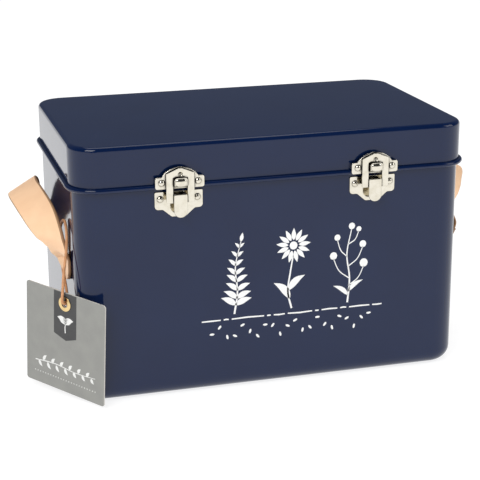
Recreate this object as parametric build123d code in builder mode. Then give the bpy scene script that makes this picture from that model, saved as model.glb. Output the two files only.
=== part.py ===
"""Hinged steel storage box for seed packets, with two toggle latches, two leather strap
handles, a centre partition, twelve sliding divider cards and a swing tag on a cord.

Millimetres.  +X to the box's right, -Y is the latch side, +Z up.  The origin lies on the
resting plane, at the middle of the body in plan.
"""
from build123d import *
import math
import os

os.makedirs("parts", exist_ok=True)

# ---------------------------------------------------------------- body and lid, sheet steel
LID_W = 310.0            # lid skirt, outer width
LID_D = 191.0            # lid skirt, outer depth
LID_R = 22.0             # lid skirt, outer corner radius
LID_TOP_Z = 200.5        # top face of the lid
LID_EDGE_R = 3.5         # rounding between lid top and skirt
SHEET = 0.8              # sheet thickness of body and lid
LID_FIT = 0.7            # air between lid skirt and body wall
LID_SEAT = 0.3           # air between the lid's underside and the body rim
BEAD_R = 1.9             # rolled wire edge at the bottom of the skirt
BEAD_AIR = 0.4           # air between the rolled edge and the plates that pass it
SKIRT_H = 32.3           # from the lid's top down to the middle of the rolled edge
NECK_IN = 3.6            # how far the neck steps in, so that the skirt swings clear of it
NECK_DROP = 0.2          # the wall begins to step in this far below the rolled edge's middle
FLOOR_R = 12.0           # rounding between body wall and floor
HEM_T = 0.9              # folded-back hem inside the rim
HEM_H = 8.0              # depth of that hem

# ---------------------------------------------------------------- rivets and pins
RIVET_SHANK_R = 1.2
RIVET_HEAD_R = 2.6
RIVET_HEAD_H = 1.6
RIVET_TAIL_R = 2.2
RIVET_TAIL_H = 0.6
RIVET_FIT = 0.05         # air round a shank in its hole
PIN_FIT = 0.05           # running clearance round a pivot pin

# ---------------------------------------------------------------- toggle latches
# Every _UP is a height above the middle of the rolled edge.
LATCH_X = 76.3           # latch centre lines, left and right of the middle
PLATE_T = 1.0            # plate of the latch parts
EAR_T = 0.9              # folded ears
STRIKE_OUT = 4.8         # back of the strike plate, out from the body wall, clears the bead
STRIKE_W = 37.2
STRIKE_BOTTOM_UP = -1.1
STRIKE_EAR_UP = 8.0
STRIKE_ARCH_R = 17.0
STRIKE_TOP_UP = 15.3
STRIKE_RIVET_X = 13.8
STRIKE_RIVET_UP = 3.8
HOOK_W = 9.8
HOOK_OUT = 10.0          # front of the hook, out from the body wall
HOOK_BOTTOM_UP = 0.7
HOOK_SEAT_UP = 6.8      # seat where it leaves the strike plate; it rises outwards
HOOK_SEAT_RISE = 0.9
HOOK_ROUND = 2.2         # shoulders, seen from the front
HOOK_NOSE_R = 2.4        # rounding under the nose
HOOK_LIP_R = 1.0         # rounding of its upper front edge
HASP_W = 21.2
HASP_OUT = 6.3           # back of the hasp plate
HASP_BOTTOM_UP = -11.8
HASP_SHOULDER_UP = 10.8
HASP_PEAK_UP = 14.6
HASP_SEAT_GAP = 0.3      # air between the hook's seat and the hasp's bearing edge
HASP_DIMPLE_R = 1.9
LEVER_W = 10.3
LEVER_OUT = 7.3          # back of the lever plate
LEVER_T = 0.9
LEVER_TOP_UP = -5.2
LEVER_TIP_UP = -23.1
LATCH_SIDE_FIT = 0.35    # air between lever and hasp, side to side
PIVOT_R = 0.8            # radius of both latch pins
PIVOT_A = (3.0, -7.6)    # lever pin in the base ears: out from the wall, up
PIVOT_B = (5.2, -10.2)   # hasp pin in the lever ears: out from the wall, up
BASE_W = 36.6
BASE_TOP_UP = -4.1
BASE_LOBE_UP = -18.0
BASE_BOTTOM_UP = -23.8
BASE_RIVET_X = 14.1
BASE_RIVET_UP = -9.7

# ---------------------------------------------------------------- rear hinges
# Heights are again above the middle of the rolled edge.
HINGE_X = 95.0
HINGE_W = 38.0
HINGE_OUT = 7.0          # pin axis, out from the rear wall
HINGE_UP = -3.2          # pin axis, height
KNUCKLE_R = 2.4
HINGE_PIN_R = 1.2
KNUCKLE_SHARE = 0.35     # part of the hinge's width that the lid's knuckle takes
KNUCKLE_GAP = 0.4
LEAF_OUT = 4.9           # back of the leaf where it passes the bead
LEAF_TOP_UP = 20.8
LEAF_BOTTOM_UP = -27.2
LEAF_RIVET_DX = 12.0
LEAF_RIVET_HIGH = 13.3
LEAF_RIVET_LOW = -18.7

# ---------------------------------------------------------------- leather handles
STRAP_W = 26.0
STRAP_T = 2.5
STRAP_FIT = 0.05         # air between a strap end and the panel
STRAP_FLAT = 2           # stations at each end that lie flat on the panel
HANDLE_RIVET_Y = 52.0
HANDLE_RIVET_Z = 102.0
BURR_R = 4.2             # rivet cap that bears on the leather
BURR_H = 1.3
# Middle line of the front half of a strap: (out from the panel, share of HANDLE_RIVET_Y, up
# from the rivets) and the direction across the strap.  The rear half mirrors it.
STRAP_LEFT = [
    ((1.30, -1.000, 0.0), (0.00, 1.00, 0.00)),
    ((1.30, -1.000, 4.6), (0.00, 1.00, 0.00)),
    ((6.60, -0.998, 10.4), (0.36, 0.93, -0.08)),
    ((10.20, -0.981, 17.5), (0.50, 0.85, -0.20)),
    ((14.30, -0.913, 26.4), (0.68, 0.64, -0.33)),
    ((19.60, -0.712, 37.0), (0.82, 0.26, -0.46)),
    ((24.00, -0.385, 44.2), (0.87, 0.08, -0.48)),
    ((25.80, 0.000, 46.2), (0.89, 0.00, -0.456)),
]
STRAP_RIGHT = [
    ((1.30, -1.000, 0.0), (0.00, 1.00, 0.00)),
    ((1.30, -1.000, 4.6), (0.00, 1.00, 0.00)),
    ((4.60, -1.000, 9.0), (-0.02, 1.00, 0.00)),
    ((6.40, -0.981, 15.5), (0.22, 0.95, -0.15)),
    ((9.40, -0.913, 23.5), (0.44, 0.85, -0.27)),
    ((14.60, -0.712, 32.0), (0.64, 0.66, -0.38)),
    ((21.00, -0.385, 38.5), (0.84, 0.20, -0.48)),
    ((28.00, 0.000, 41.5), (0.90, 0.00, -0.43)),
]

# ---------------------------------------------------------------- inside
PARTITION_T = 1.0
PARTITION_DROP = 13.4    # from the rim down to the partition's top
PARTITION_FLANGE = 12.0
PARTITION_FIT = 0.3      # air between the partition and the rim hem
CARD_T = 1.0
CARD_W = 145.5
CARD_DROP = 34.3         # from the rim down to a card's top, beside its tab
CARD_TAB_W = 20.0
CARD_TAB_H = 12.0
CARD_FLOOR_GAP = 0.3
CARD_CORNER_R = 6.0
CARD_END_ROOM = 28.2     # from the front and rear walls to the nearest card
CARDS_PER_SIDE = 6
CARD_SIDE_GAP = 1.2      # air between a card and the partition

# ---------------------------------------------------------------- swing tag
TAG_W = 80.0
TAG_H = 82.0
TAG_T = 1.0
TAG_CORNER_R = 2.2
TAG_CENTRE = (-162.5, -75.5, 45.9)
TAG_TURN = -52.0         # direction of the card's width, about +Z from +X
TAG_TILT = -3.6          # turn of the card in its own plane
EYELET_UP = 32.0         # eyelet centre above the card's centre
EYELET_HOLE_R = 3.0
EYELET_R = 6.0
EYELET_LIP = 0.8
CORD_R = 1.1
KNOT_LAP = 0.3           # how much wider the knot's radius is than the eyelet's hole
KNOT_SEAT = 1.6          # cord ends stop this far from the middle of the knot
KNOT_FIT = 0.05          # air round a cord end in the knot, and between knot and eyelet
# Route of the cord between its ends in the knot, chosen by hand: out of the eyelet, up the
# front of the strap's leg, between strap and panel, down behind the leg and back to the knot.
CORD_POINTS = [
    (-164.7, -79.8, 77.8),
    (-163.1, -79.4, 90.2),
    (-161.2, -75.0, 103.0),
    (-157.4, -69.4, 118.0),
    (-155.6, -61.5, 131.0),
    (-155.4, -49.5, 136.5),
    (-156.8, -38.5, 129.5),
    (-157.4, -33.5, 116.5),
    (-156.8, -33.5, 103.0),
    (-156.8, -39.0, 91.5),
    (-157.8, -62.6, 83.6),
]

# ---------------------------------------------------------------- worked-out sizes
BODY_W = LID_W - 2 * (SHEET + LID_FIT)
BODY_D = LID_D - 2 * (SHEET + LID_FIT)
BODY_R = LID_R - SHEET - LID_FIT
NECK_W = BODY_W - 2 * NECK_IN
NECK_D = BODY_D - 2 * NECK_IN
NECK_R = BODY_R - NECK_IN
RIM_Z = LID_TOP_Z - SHEET - LID_SEAT
BEAD_Z = LID_TOP_Z - SKIRT_H
NECK_Z = BEAD_Z - NECK_DROP
STEP_TOP_Z = NECK_Z + NECK_IN
SKIRT_OUT = SHEET + LID_FIT            # outer face of the skirt, out from the body wall
BEAD_OUT = LID_FIT + BEAD_R            # middle of the bead, out from the body wall
FRONT_Y = -BODY_D / 2
REAR_Y = BODY_D / 2
PANEL_X = BODY_W / 2
SIDES = (("left", -1), ("right", 1))


def box_sketch(width, depth, radius, z):
    """Rounded rectangle in plan at height z."""
    with BuildSketch(Plane.XY.offset(z)) as sk:
        RectangleRounded(width, depth, radius)
    return sk.sketch


def front_plane(x, out=0.0):
    """Local x is +X, local y is height above the bead, local z points out of the front wall."""
    return Plane(origin=(x, FRONT_Y - out, BEAD_Z), x_dir=(1, 0, 0), z_dir=(0, -1, 0))


def rear_plane(x, out=0.0):
    """Local x is -X, local y is height above the bead, local z points out of the rear wall."""
    return Plane(origin=(x, REAR_Y + out, BEAD_Z), x_dir=(-1, 0, 0), z_dir=(0, 1, 0))


def side_plane(side, out=0.0):
    """Local y is +Z, local z points out of the left (-1) or right (+1) panel."""
    return Plane(origin=(side * (PANEL_X + out), 0, 0), x_dir=(0, side, 0), z_dir=(side, 0, 0))


def front_section(x):
    """Section across the front wall: local x points out, local y is height above the bead."""
    return Plane(origin=(x, FRONT_Y, BEAD_Z), x_dir=(0, -1, 0), z_dir=(-1, 0, 0))


def rear_section(x):
    """Section across the rear wall: local x points out, local y is height above the bead."""
    return Plane(origin=(x, REAR_Y, BEAD_Z), x_dir=(0, 1, 0), z_dir=(1, 0, 0))


def make_rivet(head_from, tail_at, head_r=RIVET_HEAD_R, head_h=RIVET_HEAD_H):
    """Rivet along local Z, out of the wall: domed head outside, upset tail inside."""
    crown = head_from + head_h
    dome_r = (head_r ** 2 + head_h ** 2) / (2 * head_h)
    lean = math.asin(head_r / dome_r) / 2
    shoulder = (dome_r * math.sin(lean), crown - dome_r + dome_r * math.cos(lean))
    foot = tail_at - RIVET_TAIL_H
    with BuildPart() as rivet:
        with BuildSketch(Plane.XZ):
            with BuildLine():
                Polyline((0, foot), (RIVET_TAIL_R, foot), (RIVET_TAIL_R, tail_at),
                         (RIVET_SHANK_R, tail_at), (RIVET_SHANK_R, head_from),
                         (head_r, head_from))
                ThreePointArc((head_r, head_from), shoulder, (0, crown))
                Line((0, crown), (0, foot))
            make_face()
        revolve(axis=Axis.Z)
    return rivet.part


def rivet_group(name, plane, centres, head_from, tail_at, **head):
    """Write a group of like rivets as one node."""
    one = make_rivet(head_from, tail_at, **head)
    with BuildPart() as group:
        for cx, cy in centres:
            spot = Plane(plane.from_local_coords((cx, cy, 0)),
                         x_dir=plane.x_dir, z_dir=plane.z_dir)
            add(spot.location * one)
    save(group.part, name)


def drills(plane, centres, length=30.0):
    """Cutters for rivet holes, along a wall's normal and across it."""
    with BuildPart() as cutters:
        with BuildSketch(plane):
            with Locations(*centres):
                Circle(HOLE_R)
        extrude(amount=length / 2, both=True)
    return cutters.part


def save(part, name):
    """Label a finished piece and write it."""
    part.label = name
    export_step(part, f"parts/{name}.step")


BASE_RIVETS = [(-BASE_RIVET_X, BASE_RIVET_UP), (BASE_RIVET_X, BASE_RIVET_UP)]
STRIKE_RIVETS = [(-STRIKE_RIVET_X, STRIKE_RIVET_UP), (STRIKE_RIVET_X, STRIKE_RIVET_UP)]
LEAF_UP_RIVETS = [(-LEAF_RIVET_DX, LEAF_RIVET_HIGH), (LEAF_RIVET_DX, LEAF_RIVET_HIGH)]
LEAF_DOWN_RIVETS = [(-LEAF_RIVET_DX, LEAF_RIVET_LOW), (LEAF_RIVET_DX, LEAF_RIVET_LOW)]
HANDLE_RIVETS = [(-HANDLE_RIVET_Y, HANDLE_RIVET_Z), (HANDLE_RIVET_Y, HANDLE_RIVET_Z)]
HOLE_R = RIVET_SHANK_R + RIVET_FIT

# ================================================================ body shell
with BuildPart() as body_cavity:
    add(box_sketch(BODY_W - 2 * SHEET, BODY_D - 2 * SHEET, BODY_R - SHEET, SHEET))
    extrude(amount=NECK_Z - SHEET)
    fillet(body_cavity.faces().sort_by(Axis.Z)[0].edges(), FLOOR_R - SHEET)
    add(box_sketch(BODY_W - 2 * SHEET, BODY_D - 2 * SHEET, BODY_R - SHEET, NECK_Z))
    add(box_sketch(NECK_W - 2 * SHEET, NECK_D - 2 * SHEET, NECK_R - SHEET, STEP_TOP_Z))
    loft()
    add(box_sketch(NECK_W - 2 * SHEET, NECK_D - 2 * SHEET, NECK_R - SHEET, STEP_TOP_Z))
    extrude(amount=RIM_Z - HEM_H - STEP_TOP_Z)
    hem_in = SHEET + HEM_T
    add(box_sketch(NECK_W - 2 * hem_in, NECK_D - 2 * hem_in, NECK_R - hem_in, RIM_Z - HEM_H))
    extrude(amount=HEM_H)

with BuildPart() as body_shell:
    add(box_sketch(BODY_W, BODY_D, BODY_R, 0))
    extrude(amount=NECK_Z)
    fillet(body_shell.faces().sort_by(Axis.Z)[0].edges(), FLOOR_R)
    add(box_sketch(BODY_W, BODY_D, BODY_R, NECK_Z))
    add(box_sketch(NECK_W, NECK_D, NECK_R, STEP_TOP_Z))
    loft()
    add(box_sketch(NECK_W, NECK_D, NECK_R, STEP_TOP_Z))
    extrude(amount=RIM_Z - STEP_TOP_Z)
    add(body_cavity.part, mode=Mode.SUBTRACT)
    fillet(body_shell.faces().sort_by(Axis.Z)[-1].edges(), HEM_T * 0.8)
    for _, side in SIDES:
        add(drills(front_plane(side * LATCH_X), BASE_RIVETS), mode=Mode.SUBTRACT)
        add(drills(rear_plane(side * HINGE_X), LEAF_DOWN_RIVETS), mode=Mode.SUBTRACT)
        add(drills(side_plane(side), HANDLE_RIVETS), mode=Mode.SUBTRACT)
save(body_shell.part, "body_shell")

# ================================================================ lid shell with rolled edge
with BuildPart() as lid_cavity:
    add(box_sketch(LID_W - 2 * SHEET, LID_D - 2 * SHEET, LID_R - SHEET, BEAD_Z - BEAD_R))
    extrude(amount=LID_TOP_Z - SHEET - (BEAD_Z - BEAD_R))
    fillet(lid_cavity.faces().sort_by(Axis.Z)[-1].edges(), LID_EDGE_R - SHEET)


def bead():
    """Rolled wire edge all round the bottom of the skirt."""
    route = box_sketch(BODY_W + 2 * BEAD_OUT, BODY_D + 2 * BEAD_OUT, BODY_R + BEAD_OUT,
                       BEAD_Z).face().outer_wire()
    with BuildPart() as roll:
        with BuildSketch(Plane(origin=route @ 0, z_dir=route % 0)):
            Circle(BEAD_R)
        sweep(path=route)
    return roll.part


with BuildPart() as lid_shell:
    add(box_sketch(LID_W, LID_D, LID_R, BEAD_Z))
    extrude(amount=LID_TOP_Z - BEAD_Z)
    fillet(lid_shell.faces().sort_by(Axis.Z)[-1].edges(), LID_EDGE_R)
    add(lid_cavity.part, mode=Mode.SUBTRACT)
    add(bead())
    for _, side in SIDES:
        add(drills(front_plane(side * LATCH_X), STRIKE_RIVETS, length=12.0), mode=Mode.SUBTRACT)
        add(drills(rear_plane(side * HINGE_X), LEAF_UP_RIVETS, length=12.0), mode=Mode.SUBTRACT)
save(lid_shell.part, "lid_shell")

# ================================================================ latches
STRIKE_FACE = STRIKE_OUT + PLATE_T
HASP_BEAR_UP = HOOK_SEAT_UP + HASP_SEAT_GAP + HOOK_SEAT_RISE * (
    (HASP_OUT + PLATE_T - STRIKE_FACE) / (HOOK_OUT - STRIKE_FACE))
HASP_INNER = LEVER_W / 2 + LATCH_SIDE_FIT
EAR_R = PIVOT_R + 0.7
A_UP = PIVOT_A[1]
B_UP = PIVOT_B[1]
BASE_EAR_X = LEVER_W / 2 - EAR_T - LATCH_SIDE_FIT - EAR_T   # inner face of a base ear


def strike_outline(shrink):
    """Round-topped plate with square ears, seen from the front."""
    centre_z = STRIKE_TOP_UP - STRIKE_ARCH_R
    ear_h = STRIKE_EAR_UP - STRIKE_BOTTOM_UP
    with BuildSketch() as sk:
        with Locations((0, centre_z)):
            Circle(STRIKE_ARCH_R - shrink)
        with Locations((0, STRIKE_BOTTOM_UP - STRIKE_ARCH_R)):
            Rectangle(4 * STRIKE_ARCH_R, 2 * STRIKE_ARCH_R, mode=Mode.SUBTRACT)
        with Locations((0, STRIKE_BOTTOM_UP + ear_h / 2)):
            RectangleRounded(STRIKE_W - 2 * shrink, ear_h - 2 * shrink, 1.6 - shrink / 2)
    return sk.sketch


def ear_outline(centres, radius, plate_at, low_z, high_z):
    """Ear round one or two pins, joined to a plate whose back is plate_at."""
    with BuildSketch() as sk:
        for centre in centres:
            with Locations(centre):
                Circle(radius)
        if len(centres) == 2:
            (ax, az), (bx, bz) = centres
            run = math.hypot(bx - ax, bz - az)
            turn = math.degrees(math.atan2(bz - az, bx - ax))
            with Locations(Location(((ax + bx) / 2, (az + bz) / 2, 0), (0, 0, turn))):
                Rectangle(run, 2 * radius)
        inner = min(centre[0] for centre in centres)
        with Locations(((inner + plate_at) / 2, (low_z + high_z) / 2)):
            Rectangle(abs(plate_at - inner), high_z - low_z)
    return sk.sketch


def hook(x):
    """Nose of the strike plate: round-shouldered, its seat rising outwards."""
    root = STRIKE_FACE - 0.2
    top = HOOK_SEAT_UP + HOOK_SEAT_RISE
    with BuildPart() as nose:
        with BuildSketch(front_section(x)) as nose_side:
            with BuildLine():
                Polyline((root, HOOK_BOTTOM_UP + 0.3), (HOOK_OUT, HOOK_BOTTOM_UP),
                         (HOOK_OUT, top), (root, HOOK_SEAT_UP), close=True)
            make_face()
            front_corners = nose_side.vertices().group_by(Axis.X)[-1].sort_by(Axis.Y)
            fillet(front_corners[0], HOOK_NOSE_R)
            fillet(front_corners[1], HOOK_LIP_R)
        extrude(amount=HOOK_W / 2, both=True)
        with BuildSketch(front_plane(x)):
            with Locations((0, top - HOOK_W / 2)):
                RectangleRounded(HOOK_W, HOOK_W, HOOK_ROUND)
        extrude(amount=2 * HOOK_OUT, mode=Mode.INTERSECT)
    return nose.part


for name, side in SIDES:
    x0 = side * LATCH_X
    section = front_section(x0)

    # Strike plate: a shallow tray on the lid skirt with a hook for the hasp.
    with BuildPart() as strike:
        with BuildSketch(front_plane(x0, STRIKE_OUT)):
            add(strike_outline(0))
        extrude(amount=PLATE_T)
        with BuildSketch(front_plane(x0, SKIRT_OUT)):
            add(strike_outline(0))
            add(strike_outline(PLATE_T), mode=Mode.SUBTRACT)
            with Locations((0, BEAD_R + BEAD_AIR - STRIKE_W)):
                Rectangle(2 * STRIKE_W, 2 * STRIKE_W, mode=Mode.SUBTRACT)
        extrude(amount=STRIKE_OUT - SKIRT_OUT)
        fillet(strike.faces().sort_by(Axis.Y)[0].outer_wire().edges(), 0.5)
        add(drills(front_plane(x0), STRIKE_RIVETS, length=2 * HOOK_OUT), mode=Mode.SUBTRACT)
        add(hook(x0))
    save(strike.part, f"latch_{name}_strike")

    rivet_group(f"latch_{name}_strike_rivets", front_plane(x0), STRIKE_RIVETS,
                STRIKE_FACE, LID_FIT)

    # Base plate with the two ears that carry the lever.
    with BuildPart() as base:
        with BuildSketch(front_plane(x0)) as base_face:
            with BuildLine():
                half = BASE_W / 2
                Polyline((-half, BASE_TOP_UP), (half, BASE_TOP_UP), (half, BASE_LOBE_UP),
                         (half - 6.0, BASE_LOBE_UP), (5.5, BASE_BOTTOM_UP),
                         (-5.5, BASE_BOTTOM_UP), (6.0 - half, BASE_LOBE_UP),
                         (-half, BASE_LOBE_UP), close=True)
            make_face()
            fillet(base_face.vertices().group_by(Axis.Y)[-1], 1.2)
            fillet(base_face.vertices().filter_by_position(
                Axis.Y, BASE_LOBE_UP - 0.1, BASE_LOBE_UP + 0.1), 2.8)
            fillet(base_face.vertices().group_by(Axis.Y)[0], 2.0)
        extrude(amount=PLATE_T)
        fillet(base.faces().sort_by(Axis.Y)[0].outer_wire().edges(), 0.4)
        for flank in (-1, 1):
            ear_x = x0 + flank * (BASE_EAR_X + EAR_T / 2)
            with BuildSketch(front_section(ear_x)):
                add(ear_outline([PIVOT_A], EAR_R + 0.2, PLATE_T - 0.1,
                                A_UP - EAR_R - 0.2, A_UP + EAR_R + 0.2))
            extrude(amount=EAR_T / 2, both=True)
        with BuildSketch(section):
            with Locations(PIVOT_A):
                Circle(PIVOT_R + 0.02)
        extrude(amount=HASP_W, both=True, mode=Mode.SUBTRACT)
        add(drills(front_plane(x0), BASE_RIVETS), mode=Mode.SUBTRACT)
    save(base.part, f"latch_{name}_base")

    rivet_group(f"latch_{name}_base_rivets", front_plane(x0), BASE_RIVETS, PLATE_T, -SHEET)

    # Lever with folded side ears.
    with BuildPart() as lever:
        with BuildSketch(front_plane(x0, LEVER_OUT)) as lever_face:
            with Locations((0, LEVER_TIP_UP + LEVER_W / 2)):
                Circle(LEVER_W / 2)
            with Locations((0, (LEVER_TIP_UP + LEVER_W / 2 + LEVER_TOP_UP) / 2)):
                Rectangle(LEVER_W, LEVER_TOP_UP - LEVER_TIP_UP - LEVER_W / 2)
            fillet(lever_face.vertices().group_by(Axis.Y)[-1], 1.2)
        extrude(amount=LEVER_T)
        fillet(lever.faces().sort_by(Axis.Y)[0].outer_wire().edges(), 0.6)
        for flank in (-1, 1):
            ear_x = x0 + flank * (LEVER_W - EAR_T) / 2
            with BuildSketch(front_section(ear_x)):
                add(ear_outline([PIVOT_A, PIVOT_B], EAR_R, LEVER_OUT + 0.2,
                                B_UP - EAR_R, A_UP + EAR_R - 0.4))
            extrude(amount=EAR_T / 2, both=True)
        with BuildSketch(section):
            with Locations(PIVOT_A):
                Circle(PIVOT_R + PIN_FIT)
            with Locations(PIVOT_B):
                Circle(PIVOT_R + 0.02)
        extrude(amount=HASP_W, both=True, mode=Mode.SUBTRACT)
    save(lever.part, f"latch_{name}_lever")

    # Hasp: a house-shaped plate with a window for the hook and two folded ears.
    with BuildPart() as hasp:
        with BuildSketch(front_plane(x0, HASP_OUT)) as hasp_face:
            with BuildLine():
                half = HASP_W / 2
                Polyline((-half, HASP_BOTTOM_UP), (half, HASP_BOTTOM_UP),
                         (half, HASP_SHOULDER_UP), (1.2, HASP_PEAK_UP), (-1.2, HASP_PEAK_UP),
                         (-half, HASP_SHOULDER_UP), close=True)
            make_face()
            fillet(hasp_face.vertices(), 0.9)
            with BuildLine():
                Polyline((-HASP_INNER, HASP_BOTTOM_UP - 1), (HASP_INNER, HASP_BOTTOM_UP - 1),
                         (HASP_INNER, HASP_BEAR_UP), (-HASP_INNER, HASP_BEAR_UP), close=True)
            make_face(mode=Mode.SUBTRACT)
        extrude(amount=PLATE_T)
        fillet(hasp.faces().sort_by(Axis.Y)[0].outer_wire().edges(), 0.35)
        dimple_up = (HASP_BEAR_UP + HASP_PEAK_UP) / 2 - 1.2
        with Locations((x0, FRONT_Y - HASP_OUT - PLATE_T - HASP_DIMPLE_R * 0.75,
                        BEAD_Z + dimple_up)):
            Sphere(HASP_DIMPLE_R * 1.25, mode=Mode.SUBTRACT)
        for flank in (-1, 1):
            ear_x = x0 + flank * (HASP_INNER + EAR_T / 2)
            with BuildSketch(front_section(ear_x)):
                add(ear_outline([PIVOT_B], EAR_R, HASP_OUT + 0.2,
                                B_UP - EAR_R, B_UP + EAR_R))
            extrude(amount=EAR_T / 2, both=True)
        with BuildSketch(section):
            with Locations(PIVOT_B):
                Circle(PIVOT_R + PIN_FIT)
        extrude(amount=HASP_INNER + EAR_T, both=True, mode=Mode.SUBTRACT)
    save(hasp.part, f"latch_{name}_hasp")

    with BuildPart() as lever_pin:
        with BuildSketch(section):
            with Locations(PIVOT_A):
                Circle(PIVOT_R)
        extrude(amount=LEVER_W / 2 + LATCH_SIDE_FIT / 2, both=True)
    save(lever_pin.part, f"latch_{name}_lever_pin")

    with BuildPart() as hasp_pin:
        with BuildSketch(section):
            with Locations(PIVOT_B):
                Circle(PIVOT_R)
        extrude(amount=HASP_INNER + EAR_T + 0.4, both=True)
    save(hasp_pin.part, f"latch_{name}_hasp_pin")

# ================================================================ rear hinges
LID_KNUCKLE = HINGE_W * KNUCKLE_SHARE
BODY_KNUCKLE = (HINGE_W - LID_KNUCKLE) / 2 - KNUCKLE_GAP
LEAF_CLEAR = KNUCKLE_R + 0.6              # leaves start this far above and below the axis
BEAD_TOP = BEAD_R + BEAD_AIR


def knuckle(plane, width):
    """One knuckle barrel."""
    with BuildPart() as barrel:
        with BuildSketch(plane):
            with Locations((HINGE_OUT, HINGE_UP)):
                Circle(KNUCKLE_R)
        extrude(amount=width / 2, both=True)
    return barrel.part


for name, side in SIDES:
    x0 = side * HINGE_X
    section = rear_section(x0)

    with BuildPart() as lid_leaf:
        with BuildSketch(section):
            with BuildLine():
                Polyline((SKIRT_OUT, LEAF_TOP_UP), (SKIRT_OUT + PLATE_T, LEAF_TOP_UP),
                         (SKIRT_OUT + PLATE_T, BEAD_TOP + PLATE_T),
                         (LEAF_OUT + PLATE_T, BEAD_TOP + PLATE_T),
                         (LEAF_OUT + PLATE_T, HINGE_UP + LEAF_CLEAR),
                         (LEAF_OUT, HINGE_UP + LEAF_CLEAR),
                         (LEAF_OUT, BEAD_TOP), (SKIRT_OUT, BEAD_TOP), close=True)
            make_face()
        extrude(amount=HINGE_W / 2, both=True)
        with BuildSketch(section):
            with Locations((LEAF_OUT + PLATE_T / 2, HINGE_UP + (LEAF_CLEAR + 0.5) / 2)):
                Rectangle(PLATE_T, LEAF_CLEAR + 0.5)
        extrude(amount=LID_KNUCKLE / 2, both=True)
        add(knuckle(section, LID_KNUCKLE))
        with BuildSketch(section):
            with Locations((HINGE_OUT, HINGE_UP)):
                Circle(HINGE_PIN_R + PIN_FIT)
        extrude(amount=HINGE_W, both=True, mode=Mode.SUBTRACT)
        add(drills(rear_plane(x0), LEAF_UP_RIVETS), mode=Mode.SUBTRACT)
    save(lid_leaf.part, f"hinge_{name}_lid_leaf")

    with BuildPart() as body_leaf:
        with BuildSketch(section):
            with BuildLine():
                Polyline((0, LEAF_BOTTOM_UP), (PLATE_T, LEAF_BOTTOM_UP),
                         (PLATE_T, HINGE_UP - LEAF_CLEAR - 2.0),
                         (LEAF_OUT + PLATE_T, HINGE_UP - LEAF_CLEAR - 2.0),
                         (LEAF_OUT + PLATE_T, HINGE_UP - LEAF_CLEAR),
                         (LEAF_OUT, HINGE_UP - LEAF_CLEAR),
                         (LEAF_OUT, HINGE_UP - LEAF_CLEAR - 1.0),
                         (0, HINGE_UP - LEAF_CLEAR - 1.0), close=True)
            make_face()
        extrude(amount=HINGE_W / 2, both=True)
        for flank in (-1, 1):
            barrel_x = x0 + flank * (HINGE_W - BODY_KNUCKLE) / 2
            with BuildSketch(rear_section(barrel_x)):
                with Locations((LEAF_OUT + PLATE_T / 2, HINGE_UP - (LEAF_CLEAR + 0.5) / 2)):
                    Rectangle(PLATE_T, LEAF_CLEAR + 0.5)
            extrude(amount=BODY_KNUCKLE / 2, both=True)
            add(knuckle(rear_section(barrel_x), BODY_KNUCKLE))
        with BuildSketch(section):
            with Locations((HINGE_OUT, HINGE_UP)):
                Circle(HINGE_PIN_R + 0.02)
        extrude(amount=HINGE_W, both=True, mode=Mode.SUBTRACT)
        add(drills(rear_plane(x0), LEAF_DOWN_RIVETS), mode=Mode.SUBTRACT)
    save(body_leaf.part, f"hinge_{name}_body_leaf")

    with BuildPart() as hinge_pin:
        with BuildSketch(section):
            with Locations((HINGE_OUT, HINGE_UP)):
                Circle(HINGE_PIN_R)
        extrude(amount=HINGE_W / 2 + 0.6, both=True)
    save(hinge_pin.part, f"hinge_{name}_pin")

    rivet_group(f"hinge_{name}_lid_rivets", rear_plane(x0), LEAF_UP_RIVETS,
                SKIRT_OUT + PLATE_T, LID_FIT)
    rivet_group(f"hinge_{name}_body_rivets", rear_plane(x0), LEAF_DOWN_RIVETS,
                PLATE_T, -SHEET)

# ================================================================ leather handles


def strap_stations(side):
    """Middle line and cross direction of a whole strap, front rivet to rear rivet."""
    half = STRAP_LEFT if side < 0 else STRAP_RIGHT
    front = [(Vector(side * (PANEL_X + out), HANDLE_RIVET_Y * share, HANDLE_RIVET_Z + up),
              Vector(side * w[0], w[1], w[2])) for (out, share, up), w in half]
    rear = [(Vector(p.X, -p.Y, p.Z), Vector(-w.X, w.Y, -w.Z)) for p, w in front[-2::-1]]
    return front + rear


for name, side in SIDES:
    stations = strap_stations(side)
    with BuildPart() as strap:
        for i, (centre, across) in enumerate(stations):
            before = stations[max(i - 1, 0)][0]
            after = stations[min(i + 1, len(stations) - 1)][0]
            along = (after - before).normalized()
            if i < STRAP_FLAT:
                along = Vector(0, 0, 1)
            if i >= len(stations) - STRAP_FLAT:
                along = Vector(0, 0, -1)
            with BuildSketch(Plane(origin=centre, x_dir=across, z_dir=along)):
                Rectangle(STRAP_W, STRAP_T)
        loft(ruled=True)
        for flank in (-1, 1):
            end = side_plane(side, STRAP_FIT)
            with BuildSketch(end):
                with Locations((flank * HANDLE_RIVET_Y, HANDLE_RIVET_Z)):
                    Circle(STRAP_W / 2)
                with Locations((flank * HANDLE_RIVET_Y, HANDLE_RIVET_Z + STRAP_W / 2)):
                    Rectangle(STRAP_W + 1, STRAP_W, mode=Mode.SUBTRACT)
            extrude(amount=STRAP_T)
        add(drills(side_plane(side), HANDLE_RIVETS, length=12.0), mode=Mode.SUBTRACT)
    save(strap.part, f"handle_{name}_strap")

    rivet_group(f"handle_{name}_rivets", side_plane(side), HANDLE_RIVETS,
                STRAP_FIT + STRAP_T, -SHEET, head_r=BURR_R, head_h=BURR_H)

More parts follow.
